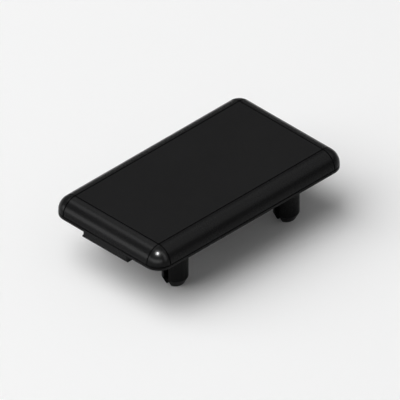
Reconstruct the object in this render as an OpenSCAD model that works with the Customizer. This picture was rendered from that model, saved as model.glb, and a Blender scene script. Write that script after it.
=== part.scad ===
// Press-in end cap, moulded in one piece: a rounded crown, two locating tabs and four split pegs.
// The origin is the middle of the flat seating face under the crown.
// X runs along the long side, Y along the short side and Z up through the crown.

/* [Crown] */
// Length of the crown over its side walls
crown_length = 31.5; // [28:0.5:60]
// Width of the crown over its side walls
crown_width = 18; // [16:0.5:40]
// Height of the crown above the seating face
crown_height = 2.5; // [2.2:0.1:5]
// Radius of the top edge and of the four upright corners
edge_round = 2; // [0.5:0.1:2.4]

/* [Locating tabs] */
// Width of a tab across the short side of the crown
tab_width = 7.6; // [5:0.1:8.4]
// Length of a tab inwards from the end of the crown
tab_depth = 4; // [1.5:0.1:4.4]
// How far a tab reaches below the seating face
tab_drop = 0.8; // [0.5:0.1:2]
// Radius of a tab's upright edges
tab_edge_round = 0.35; // [0.1:0.05:0.6]

/* [Pegs] */
// Diameter of a peg
peg_diameter = 3.2; // [2.4:0.1:4]
// Length of a peg below the seating face
peg_length = 6; // [5:0.5:12]
// Distance from the end of the crown to a peg's axis
peg_from_end = 6.45; // [6.2:0.05:9]
// Distance from the long side of the crown to a peg's axis
peg_from_side = 3.7; // [2.8:0.1:5]
// Radius of the fillet where a peg meets the seating face
root_fillet = 0.4; // [0.1:0.1:0.6]
// Height of the tapered lead-in at a peg's tip
lead_in_height = 1; // [0.4:0.1:1.5]
// How much the lead-in takes off a peg's radius
lead_in_step = 0.5; // [0.2:0.05:0.6]
// Width of the slit between a peg's two prongs
slit_width = 0.8; // [0.4:0.1:1]
// Depth of the slit from a peg's tip to its round end
slit_depth = 3; // [1.5:0.1:4.6]

/* [Hidden] */
$fn = 96;

// The upright side wall keeps at least this height under the rounded edge
least_side_wall = 0.1;
// How far a cutting shape runs past the faces that it cuts
cut_over = 1;

half_length = crown_length / 2;
half_width = crown_width / 2;
crown_round = min(edge_round, crown_height - least_side_wall);
side_wall = crown_height - crown_round;
peg_radius = peg_diameter / 2;
slit_radius = slit_width / 2;

// Section across the crown, with both of its top edges rounded
module crown_section(width) {
  inner = width - 2 * crown_round;
  translate([-width / 2, 0]) square([width, side_wall]);
  translate([-inner / 2, 0]) square([inner, crown_height]);
  for (side = [-1, 1]) translate([side * inner / 2, side_wall])
    intersection() {
      circle(r = crown_round);
      translate([-crown_round, 0]) square([2 * crown_round, crown_round]);
    }
}

// Upright corner of the crown, which ends in a quarter of a ball
module crown_corner() {
  rotate_extrude() {
    square([crown_round, side_wall]);
    translate([0, side_wall]) intersection() {
      circle(r = crown_round);
      square(crown_round);
    }
  }
}

// Flat-topped crown with a rounded rim and spherical corners
module crown() {
  flat_length = crown_length - 2 * crown_round;
  flat_width = crown_width - 2 * crown_round;
  rotate([90, 0, 0]) linear_extrude(height = flat_width, center = true) crown_section(crown_length);
  rotate([90, 0, 90]) linear_extrude(height = flat_length, center = true) crown_section(crown_width);
  for (along = [-1, 1], across = [-1, 1])
    translate([along * flat_length / 2, across * flat_width / 2, 0]) crown_corner();
}

// Tab at the +X end, flush with the end wall of the crown
module tab() {
  rounded_depth = tab_depth - 2 * tab_edge_round;
  rounded_width = tab_width - 2 * tab_edge_round;
  // The tab starts inside the crown, so the two make one body
  root = side_wall / 2;
  translate([half_length - tab_depth / 2, 0, -tab_drop]) linear_extrude(height = tab_drop + root) {
    square([tab_depth, rounded_width], center = true);
    square([rounded_depth, tab_width], center = true);
    for (along = [-1, 1], across = [-1, 1])
      translate([along * rounded_depth / 2, across * rounded_width / 2]) circle(r = tab_edge_round);
  }
}

// Half-section of a peg about its axis, from inside the crown down to the tapered tip
module peg_section() {
  polygon([
    [0, side_wall],
    [peg_radius, side_wall],
    [peg_radius, lead_in_height - peg_length],
    [peg_radius - lead_in_step, -peg_length],
    [0, -peg_length]
  ]);
  difference() {
    translate([0, -root_fillet]) square([peg_radius + root_fillet, root_fillet]);
    translate([peg_radius + root_fillet, -root_fillet]) circle(r = root_fillet);
  }
}

// Split press-in peg: a slit along X leaves two prongs that spring together across Y
module peg() {
  slit_reach = 2 * (peg_radius + root_fillet + cut_over);
  slit_top = slit_depth - peg_length - slit_radius;
  difference() {
    rotate_extrude() peg_section();
    translate([-slit_reach / 2, -slit_radius, -peg_length - cut_over])
      cube([slit_reach, slit_width, slit_top + peg_length + cut_over]);
    translate([0, 0, slit_top]) rotate([0, 90, 0])
      cylinder(r = slit_radius, h = slit_reach, center = true);
  }
}

module end_cap() {
  color([0.03, 0.03, 0.03]) union() {
    crown();
    for (turn = [0, 180]) rotate([0, 0, turn]) tab();
    for (along = [-1, 1], across = [-1, 1])
      translate([along * (half_length - peg_from_end), across * (half_width - peg_from_side), 0]) peg();
  }
}

end_cap();
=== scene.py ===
import math

import bmesh
import bpy
from mathutils import Matrix, Vector


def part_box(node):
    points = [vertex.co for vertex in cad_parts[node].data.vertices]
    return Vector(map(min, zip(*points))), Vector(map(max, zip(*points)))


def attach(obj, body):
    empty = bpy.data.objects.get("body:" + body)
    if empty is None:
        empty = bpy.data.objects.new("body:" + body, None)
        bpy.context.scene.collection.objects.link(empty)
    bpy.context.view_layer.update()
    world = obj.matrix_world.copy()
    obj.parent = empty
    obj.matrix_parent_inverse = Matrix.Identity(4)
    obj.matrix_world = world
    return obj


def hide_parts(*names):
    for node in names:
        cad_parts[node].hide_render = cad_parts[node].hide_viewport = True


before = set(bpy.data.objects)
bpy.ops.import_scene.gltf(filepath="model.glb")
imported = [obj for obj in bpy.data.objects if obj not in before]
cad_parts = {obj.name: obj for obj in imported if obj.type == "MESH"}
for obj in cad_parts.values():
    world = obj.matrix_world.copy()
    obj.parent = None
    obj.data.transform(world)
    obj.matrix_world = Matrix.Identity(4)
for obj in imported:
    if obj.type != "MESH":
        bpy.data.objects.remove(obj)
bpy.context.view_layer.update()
scene = bpy.context.scene
MM = 0.001

# The camera: a parallel, truly isometric view over the corner where the two near sides meet.
# It is aimed a little below the middle of the flat top, so that the cap stands high in the picture.
lowest_corner, highest_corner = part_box("end_cap")
picture_width = 47.35 * MM
camera_distance = 0.6
aim_right = 0.12 * MM
aim_down = 3.258 * MM

toward_camera = Vector((-1, -1, 1)).normalized()
camera_data = bpy.data.cameras.new("camera")
camera_data.type = "ORTHO"
camera_data.ortho_scale = picture_width
camera = bpy.data.objects.new("camera", camera_data)
camera.rotation_euler = (-toward_camera).to_track_quat("-Z", "Y").to_euler()
view_turn = camera.rotation_euler.to_matrix()
view_right, view_up = view_turn.col[0], view_turn.col[1]
middle_of_top = Vector((0, 0, highest_corner.z))
aim = middle_of_top + view_right * aim_right - view_up * aim_down
camera.location = aim + toward_camera * camera_distance
scene.collection.objects.link(camera)
scene.camera = camera
scene.view_settings.view_transform = "Standard"


# Shader nodes are written as sums and products of sockets. A Wire is the output of a node, and
# Shader.node makes any node from its type, its settings and the values or links of its inputs.
class Wire:
    def __init__(self, shader, socket):
        self.shader = shader
        self.socket = socket

    def math(self, operation, first, second):
        return self.shader.node("ShaderNodeMath", {"operation": operation}, {0: first, 1: second})

    def __add__(self, other):
        return self.math("ADD", self, other)

    def __sub__(self, other):
        return self.math("SUBTRACT", self, other)

    def __rsub__(self, other):
        return self.math("SUBTRACT", other, self)

    def __mul__(self, other):
        return self.math("MULTIPLY", self, other)

    def __gt__(self, other):
        return self.math("GREATER_THAN", self, other)

    __radd__ = __add__
    __rmul__ = __mul__


class Shader:
    def __init__(self, name, tree_of=None):
        self.data = tree_of or bpy.data.materials.new(name)
        self.data.use_nodes = True
        self.tree = self.data.node_tree
        self.tree.nodes.clear()

    def node(self, kind, settings=None, inputs=None, output=0):
        made = self.tree.nodes.new(kind)
        for setting, value in (settings or {}).items():
            setattr(made, setting, value)
        for key, value in (inputs or {}).items():
            if isinstance(value, Wire):
                self.tree.links.new(value.socket, made.inputs[key])
            else:
                made.inputs[key].default_value = value
        return Wire(self, made.outputs[output])

    def finish(self, surface):
        kind = "ShaderNodeOutputWorld" if self.data.id_type == "WORLD" else "ShaderNodeOutputMaterial"
        end = self.tree.nodes.new(kind)
        self.tree.links.new(surface.socket, end.inputs["Surface"])
        return self.data


# The studio: an evenly dim room with a round white paper floor under the tips of the pegs, which
# keeps the cap's soft shadow. A low glowing surround stands round the floor and closes off what lies
# under it, and fills the background of level views.
room_light = 0.26
floor_radius = 1.6
floor_segments = 128
surround_top = 0.04
surround_bottom = -0.4
paper_white = (0.92, 0.92, 0.92, 1)
paper_roughness = 0.95
surround_glow = 0.93


def studio_piece(name, mesh, material):
    """A stage piece made from a bmesh, whose level zero is set at the tips of the pegs."""
    bmesh.ops.translate(mesh, vec=(0, 0, lowest_corner.z), verts=mesh.verts)
    data = bpy.data.meshes.new(name)
    mesh.to_mesh(data)
    mesh.free()
    data.materials.append(material)
    piece = bpy.data.objects.new(name, data)
    scene.collection.objects.link(piece)


room = Shader("room", bpy.data.worlds.new("room"))
room_surface = room.node(
    "ShaderNodeBackground",
    inputs={"Color": (1, 1, 1, 1), "Strength": room_light},
)
scene.world = room.finish(room_surface)

floor = bmesh.new()
bmesh.ops.create_circle(floor, cap_ends=True, segments=floor_segments, radius=floor_radius)
paper = Shader("white_paper")
paper_surface = paper.node(
    "ShaderNodeBsdfPrincipled",
    inputs={"Base Color": paper_white, "Roughness": paper_roughness, "Specular IOR Level": 0.0},
)
studio_piece("paper_floor", floor, paper.finish(paper_surface))

surround = bmesh.new()
bmesh.ops.create_circle(surround, cap_ends=True, segments=floor_segments, radius=floor_radius)
bmesh.ops.translate(surround, vec=(0, 0, surround_bottom), verts=surround.verts)
wall = bmesh.ops.extrude_edge_only(surround, edges=surround.edges[:])["geom"]
wall_top = [part for part in wall if isinstance(part, bmesh.types.BMVert)]
bmesh.ops.translate(surround, vec=(0, 0, surround_top - surround_bottom), verts=wall_top)
glow = Shader("white_surround")
glow_surface = glow.node("ShaderNodeEmission", inputs={"Strength": surround_glow})
studio_piece("white_surround", surround, glow.finish(glow_surface))

# One large soft lamp from the back left does the lighting. The others are reflector cards, which show
# only in the cap's gloss: the left, near and right ones as bands along the near rims, the front one on
# the corner ball, the overhead, back and high ones along the tops of the rims, the small one as a glint.
studio_lamps = [
    # name, direction from the cap, distance, width, height, radiance, seen in reflections
    ("soft_lamp", (-0.45, 0.40, 0.80), 1.5, 2.2, 2.2, 2.25, False),
    ("left_card", (-0.87, 0.50, 0.16), 1.5, 1.75, 0.60, 5.6, True),
    ("front_card", (-0.85, -0.53, 0.17), 1.5, 2.1, 0.58, 9.0, True),
    ("near_card", (0.09, -0.78, 0.60), 1.4, 0.36, 1.70, 7.8, True),
    ("right_card", (0.62, -0.32, 0.68), 1.6, 1.2, 1.1, 1.4, True),
    ("overhead_card", (0.13, 0.36, 1.0), 1.3, 1.00, 1.12, 0.35, True),
    ("back_card", (-0.15, 0.58, 0.80), 1.5, 0.50, 0.55, 4.4, True),
    ("high_back_card", (0.28, 0.50, 0.80), 1.4, 0.40, 0.50, 1.85, True),
    ("high_right_card", (0.55, 0.16, 0.80), 1.4, 0.40, 0.50, 1.25, True),
    ("low_back_card", (0.66, 0.66, 0.34), 1.5, 0.80, 0.26, 0.42, True),
    ("glint_card", (-0.385, -0.215, 0.90), 1.0, 0.13, 0.13, 1500.0, True),
]
for name, direction, distance, width, height, radiance, is_card in studio_lamps:
    lamp = bpy.data.lights.new(name, "AREA")
    lamp.shape = "RECTANGLE"
    lamp.size = width
    lamp.size_y = height
    lamp.energy = radiance * math.pi * width * height
    stand = bpy.data.objects.new(name, lamp)
    outward = Vector(direction).normalized()
    stand.location = outward * distance
    stand.rotation_euler = outward.to_track_quat("Z", "Y").to_euler()
    stand.visible_camera = False
    stand.visible_glossy = is_card
    stand.visible_diffuse = not is_card
    scene.collection.objects.link(stand)

# The crown is the part that shows in use: a flat top whose rim and four upright corners share one
# radius, so each corner ends in an eighth of a ball. The mould's cavity is put together from an insert
# for the flat top, strips for the rim and a piece for each corner, whose joints leave hairlines.
crown_length = (highest_corner.x - lowest_corner.x) / MM
crown_width = (highest_corner.y - lowest_corner.y) / MM
crown_height = highest_corner.z / MM
edge_round = 2.0
rim_segments = 18
side_wall = crown_height - edge_round
top_line_width = 0.14
rim_line_width = 0.17
corner_line_width = 0.14
hairline_depth = 0.18
same_place = 1e-4


def place(mesh, size, centre):
    """A box of this size round this centre, in millimetres, added to a bmesh."""
    made = bmesh.ops.create_cube(mesh, size=1)["verts"]
    bmesh.ops.scale(mesh, vec=size, verts=made)
    bmesh.ops.translate(mesh, vec=centre, verts=made)


def round_edges(mesh, edges, radius, segments):
    """Edges bevelled to a radius, which is in the mesh's own unit."""
    bmesh.ops.bevel(
        mesh,
        geom=edges,
        offset=radius,
        offset_type="OFFSET",
        segments=segments,
        profile=0.5,
        affect="EDGES",
        material=-1,
    )


crown = bmesh.new()
place(crown, (crown_length, crown_width, crown_height), (0, 0, crown_height / 2))
crown.normal_update()
upper_edges = [edge for edge in crown.edges if max(vert.co.z for vert in edge.verts) > side_wall]
round_edges(crown, upper_edges, edge_round, rim_segments)

# The hairlines run round the flat top, under the rim, and between the rim and the corner balls. The
# inner half of the first is a narrow inset of the flat top. Planes cut out its outer half and all the
# others, and then the hairlines are pressed in together.
flat_length = crown_length - 2 * edge_round
flat_width = crown_width - 2 * edge_round
crown.normal_update()
top_face = max(crown.faces, key=lambda face: face.calc_center_median().z)
half_line = top_line_width / 2
bmesh.ops.inset_region(crown, faces=[top_face], thickness=half_line, use_even_offset=True)
first_slope = math.radians(90) / rim_segments / 2
top_line_end = crown_height - half_line * math.tan(first_slope)

cuts = [((0, 0, level), (0, 0, 1)) for level in (side_wall - rim_line_width, side_wall, top_line_end)]
for side in (-1, 1):
    for line_edge in (-corner_line_width / 2, corner_line_width / 2):
        cuts.append(((side * flat_length / 2 + line_edge, 0, 0), (1, 0, 0)))
        cuts.append(((0, side * flat_width / 2 + line_edge, 0), (0, 1, 0)))
top_level = crown_height - same_place
for point, direction in cuts:
    below_top = [face for face in crown.faces if face.calc_center_median().z < top_level]
    touched = dict.fromkeys(part for face in below_top for part in (*face.verts, *face.edges))
    bmesh.ops.bisect_plane(
        crown,
        geom=below_top + list(touched),
        plane_co=point,
        plane_no=direction,
        dist=same_place,
    )


def on_hairline(face):
    centre = face.calc_center_median()
    if centre.z > top_line_end:
        return face is not top_face
    if centre.z < side_wall:
        return centre.z > side_wall - rim_line_width
    beyond_length = abs(centre.x) - flat_length / 2
    beyond_width = abs(centre.y) - flat_width / 2
    beside_end = abs(beyond_length) < corner_line_width / 2 and beyond_width > 0
    beside_long_side = abs(beyond_width) < corner_line_width / 2 and beyond_length > 0
    return beside_end or beside_long_side


crown.normal_update()
hairlines = [face for face in crown.faces if on_hairline(face)]
bmesh.ops.inset_region(crown, faces=hairlines, thickness=0, depth=-hairline_depth)

# A tab stands under each end of the crown. Its outer face is flush with the end wall, its
# upright edges are rounded, and its last fifth of a millimetre is a square-cornered foot.
tab_width = 7.6
tab_depth = 4.0
tab_drop = 0.8
tab_edge_round = 0.35
tab_edge_segments = 8
foot_thickness = 0.2
buried = side_wall / 2

tabs = bmesh.new()
feet = bmesh.new()
for end in (-1, 1):
    middle = end * (crown_length - tab_depth) / 2
    place(tabs, (tab_depth, tab_width, tab_drop + buried), (middle, 0, (buried - tab_drop) / 2))
    place(feet, (tab_depth, tab_width, foot_thickness), (middle, 0, foot_thickness / 2 - tab_drop))
upright = [edge for edge in tabs.edges if abs(edge.verts[0].co.z - edge.verts[1].co.z) > tab_drop]
round_edges(tabs, upright, tab_edge_round, tab_edge_segments)

# Four split pegs do the fixing. Each is a round post with a fillet at its root, a tapered
# tip and a slit, whose two prongs spring together as it is pressed in.
peg_radius = 1.6
peg_length = -lowest_corner.z / MM
peg_from_end = 6.45
peg_from_side = 3.7
root_fillet = 0.4
lead_in_height = 1.0
lead_in_step = 0.5
tip_round = 0.15
slit_width = 0.8
slit_depth = 3.0
cut_over = 0.5
least_gap = 0.001
peg_steps = 64
fillet_steps = 8
tip_segments = 4
slit_segments = 12

# The outline of half a peg starts as the fillet's arc. It is closed inside the crown, runs down to the
# tip, and is spun round the peg's axis.
pegs = bmesh.new()
root_edge = pegs.verts.new((peg_radius + root_fillet, 0, 0))
arc = bmesh.ops.spin(
    pegs,
    geom=[root_edge],
    angle=math.pi / 2,
    steps=fillet_steps,
    axis=(0, -1, 0),
    cent=(peg_radius + root_fillet, 0, -root_fillet),
)
fillet_end = [part for part in arc["geom_last"] if isinstance(part, bmesh.types.BMVert)][0]
buried_edge = pegs.verts.new((peg_radius + root_fillet, 0, buried))
buried_middle = pegs.verts.new((0, 0, buried))
pegs.edges.new((buried_middle, buried_edge))
pegs.edges.new((buried_edge, root_edge))
above = fillet_end
for radius, depth in (
    (peg_radius, lead_in_height - peg_length),
    (peg_radius - lead_in_step, -peg_length),
    (0, -peg_length),
):
    below = pegs.verts.new((radius, 0, depth))
    pegs.edges.new((above, below))
    above = below
bmesh.ops.spin(
    pegs,
    geom=pegs.verts[:] + pegs.edges[:],
    angle=2 * math.pi,
    steps=peg_steps,
    axis=(0, 0, 1),
    cent=(0, 0, 0),
    use_merge=True,
)
bmesh.ops.remove_doubles(pegs, verts=pegs.verts, dist=same_place)
bmesh.ops.recalc_face_normals(pegs, faces=pegs.faces)
tip_edges = [
    edge
    for edge in pegs.edges
    if all(abs(vert.co.z + peg_length) < same_place for vert in edge.verts)
    and all(vert.co.xy.length > peg_radius / 2 for vert in edge.verts)
]
round_edges(pegs, tip_edges, tip_round, tip_segments)

# The slit is cut by a box, whose two long upper edges are rounded until they all but meet.
slits = bmesh.new()
slit_top = slit_depth - peg_length
slit_reach = 2 * (peg_radius + root_fillet + cut_over)
slit_cut = slit_depth + 2 * cut_over
slit_round = slit_width / 2 - least_gap
place(slits, (slit_reach, slit_width, slit_cut), (0, 0, slit_top - slit_cut / 2))
long_upper_edges = [
    edge
    for edge in slits.edges
    if all(vert.co.z > slit_top - same_place for vert in edge.verts)
    and abs(edge.verts[0].co.y - edge.verts[1].co.y) < same_place
]
round_edges(slits, long_upper_edges, slit_round, slit_segments)

# The first peg and its slit are set under one corner, and copied along the crown and across it.
peg_along = crown_length / 2 - peg_from_end
peg_across = crown_width / 2 - peg_from_side
for mesh in (pegs, slits):
    bmesh.ops.translate(mesh, vec=(-peg_along, -peg_across, 0), verts=mesh.verts)
    for step in ((2 * peg_along, 0, 0), (0, 2 * peg_across, 0)):
        made = bmesh.ops.duplicate(mesh, geom=mesh.verts[:] + mesh.edges[:] + mesh.faces[:])["geom"]
        copied = [part for part in made if isinstance(part, bmesh.types.BMVert)]
        bmesh.ops.translate(mesh, vec=step, verts=copied)

# The moulding leaves its marks on the hidden seating face: the gate's nub in a shallow dimple in
# the middle, and the round print of an ejector pin on either side of it.
dimple_radius = 1.3
dimple_depth = 0.25
nub_radius = 0.45
nub_tip_radius = 0.405
nub_height = 0.15
nub_root = buried / 2
ejector_radius = 1.0
ejector_depth = 0.05
ejector_from_middle = 5.6
mark_segments = 40
nub_segments = 24

marks = bmesh.new()
nub = bmesh.new()
for radius, depth, across in (
    (dimple_radius, dimple_depth, 0),
    (ejector_radius, ejector_depth, -ejector_from_middle),
    (ejector_radius, ejector_depth, ejector_from_middle),
):
    bmesh.ops.create_cone(
        marks,
        cap_ends=True,
        segments=mark_segments,
        radius1=radius,
        radius2=radius,
        depth=2 * depth,
        matrix=Matrix.Translation((0, across, 0)),
    )
bmesh.ops.create_cone(
    nub,
    cap_ends=True,
    segments=nub_segments,
    radius1=nub_tip_radius,
    radius2=nub_radius,
    depth=nub_height + nub_root,
    matrix=Matrix.Translation((0, 0, dimple_depth + (nub_root - nub_height) / 2)),
)


def in_metres(name, mesh):
    """A finished bmesh as an object of its own, made metres, with its place in its mesh."""
    bmesh.ops.scale(mesh, vec=(MM, MM, MM), verts=mesh.verts)
    data = bpy.data.meshes.new(name)
    mesh.to_mesh(data)
    mesh.free()
    piece = bpy.data.objects.new(name, data)
    scene.collection.objects.link(piece)
    return piece


# The whole cap is one piece of nylon, so its forms are merged into one skin and the working shapes
# are thrown away. Every outer corner below the rim is broken by a few hundredths of a millimetre.
edge_break = 0.03
break_segments = 2
merge_weld = 0.002
break_weld = 0.003
shortest_edge = 0.001
seating_level = 0.01
flat_angle = math.radians(0.5)
sharp_angle = math.radians(24)
corner_angle = math.radians(50)

cap = in_metres("cap_moulding", crown)
working_shapes = [
    ("UNION", in_metres("tabs_working", tabs)),
    ("UNION", in_metres("feet_working", feet)),
    ("UNION", in_metres("pegs_working", pegs)),
    ("DIFFERENCE", in_metres("slits_working", slits)),
    ("DIFFERENCE", in_metres("marks_working", marks)),
    ("UNION", in_metres("nub_working", nub)),
]
for operation, shape in working_shapes:
    merge = cap.modifiers.new(shape.name, "BOOLEAN")
    merge.operation = operation
    merge.solver = "EXACT"
    merge.object = shape
merged_cap = cap.evaluated_get(bpy.context.evaluated_depsgraph_get())
merged = bpy.data.meshes.new_from_object(merged_cap)
cap.modifiers.clear()
for _, shape in working_shapes:
    bpy.data.objects.remove(shape)

skin = bmesh.new()
skin.from_mesh(merged)
bmesh.ops.remove_doubles(skin, verts=skin.verts, dist=merge_weld * MM)
bmesh.ops.dissolve_degenerate(skin, edges=skin.edges, dist=shortest_edge * MM)
bmesh.ops.dissolve_limit(skin, angle_limit=flat_angle, verts=skin.verts, edges=skin.edges)
bmesh.ops.recalc_face_normals(skin, faces=skin.faces)
outer_corners = [
    edge
    for edge in skin.edges
    if edge.is_convex
    and edge.calc_face_angle() > corner_angle
    and max(vert.co.z for vert in edge.verts) < seating_level * MM
]
round_edges(skin, outer_corners, edge_break * MM, break_segments)
bmesh.ops.remove_doubles(skin, verts=skin.verts, dist=break_weld * MM)
bmesh.ops.dissolve_degenerate(skin, edges=skin.edges, dist=shortest_edge * MM)
for face in skin.faces:
    face.smooth = True
for edge in skin.edges:
    edge.smooth = len(edge.link_faces) == 2 and edge.calc_face_angle() < sharp_angle
skin.to_mesh(cap.data)
skin.free()
bpy.data.meshes.remove(merged)

soften = cap.modifiers.new("even_normals", "WEIGHTED_NORMAL")
soften.keep_sharp = True

# Near-black moulded nylon. The flat top has the fine spark-eroded grain of its mould insert and is
# the more matt, and the rim and the walls are smoother. The melt's flow leaves faint wide patches.
darkest_black = (0.0038, 0.0038, 0.004, 1)
palest_black = (0.00608, 0.00608, 0.0064, 1)
gloss_level = 0.07
rim_roughness = 0.27
top_extra_roughness = 0.09
flow_roughness = 0.05
grain_roughness = 0.06
rim_relief = 0.25
top_extra_relief = 0.6
relief_height = 0.02
grain_size = 0.16
grain_softness = 0.6
flow_size = 5.5
noise_detail = 2.0
top_tolerance = 0.004

nylon = Shader("black_nylon")
on_cap = nylon.node("ShaderNodeTexCoord", output="Object")
level = nylon.node("ShaderNodeSeparateXYZ", inputs={0: on_cap}, output="Z") * (1 / MM)
flat_top = level > crown_height - top_tolerance
grain = nylon.node(
    "ShaderNodeTexNoise",
    inputs={
        "Vector": on_cap,
        "Scale": 1 / (grain_size * MM),
        "Detail": noise_detail,
        "Roughness": grain_softness,
    },
)
flow = nylon.node(
    "ShaderNodeTexNoise",
    inputs={"Vector": on_cap, "Scale": 1 / (flow_size * MM), "Detail": noise_detail},
)
roughness = (
    rim_roughness
    + flat_top * top_extra_roughness
    + (flow - 0.5) * flow_roughness
    + (grain - 0.5) * grain_roughness
)
relief = nylon.node(
    "ShaderNodeBump",
    inputs={
        "Strength": rim_relief + top_extra_relief * flat_top,
        "Distance": relief_height * MM,
        "Height": grain,
    },
)
# A Mix node of colours has its factor in socket 0, its colours in 6 and 7, and its result in output 2.
shade = nylon.node(
    "ShaderNodeMix",
    {"data_type": "RGBA", "blend_type": "MIX"},
    {0: grain * 0.5 + flow * 0.5, 6: darkest_black, 7: palest_black},
    output=2,
)
surface = nylon.node(
    "ShaderNodeBsdfPrincipled",
    inputs={
        "Base Color": shade,
        "Roughness": roughness,
        "Specular IOR Level": gloss_level,
        "Normal": relief,
    },
)
cap.data.materials.append(nylon.finish(surface))

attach(cap, "root")
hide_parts("end_cap")
